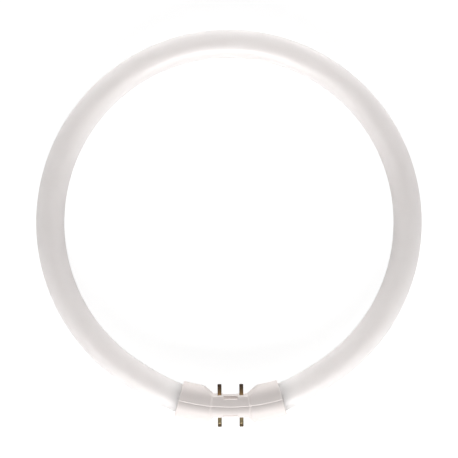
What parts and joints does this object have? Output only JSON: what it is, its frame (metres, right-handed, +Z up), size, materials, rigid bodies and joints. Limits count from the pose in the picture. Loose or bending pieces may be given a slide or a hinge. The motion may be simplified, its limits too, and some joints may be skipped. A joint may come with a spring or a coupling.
{
  "type": "circular fluorescent tube",
  "caption": "Ring-shaped fluorescent lamp: a white coated glass tube bent to a circle, its ends held in a white moulded cap with contact pins towards and away from the centre.",
  "frame": {"origin": "middle of the lamp's box on the surface it lies on; the ring's own centre is 3.3 mm from it towards +Y", "axes": "+Z up, square to the plane of the ring; +Y from the cap towards the far side of the ring; X along the cap"},
  "size_m": [0.225, 0.2316, 0.0214],
  "materials": {
    "coated_glass": "clear glass over a matt white inner coating, not see-through",
    "cap_plastic": "moulded white plastic, satin",
    "pin_brass": "plain brass, slightly darkened towards the tips",
    "lead_wire": "plain nickel-plated wire"
  },
  "bodies": {
    "root": {"glass_tube": "coated_glass", "cap_inner_half": "cap_plastic", "cap_outer_half": "cap_plastic", "pin_inner_left": "pin_brass", "pin_inner_right": "pin_brass", "pin_outer_left": "pin_brass", "pin_outer_right": "pin_brass", "lead_wire_inner_left": "lead_wire", "lead_wire_inner_right": "lead_wire", "lead_wire_outer_left": "lead_wire", "lead_wire_outer_right": "lead_wire"}
  },
  "joints": []
}
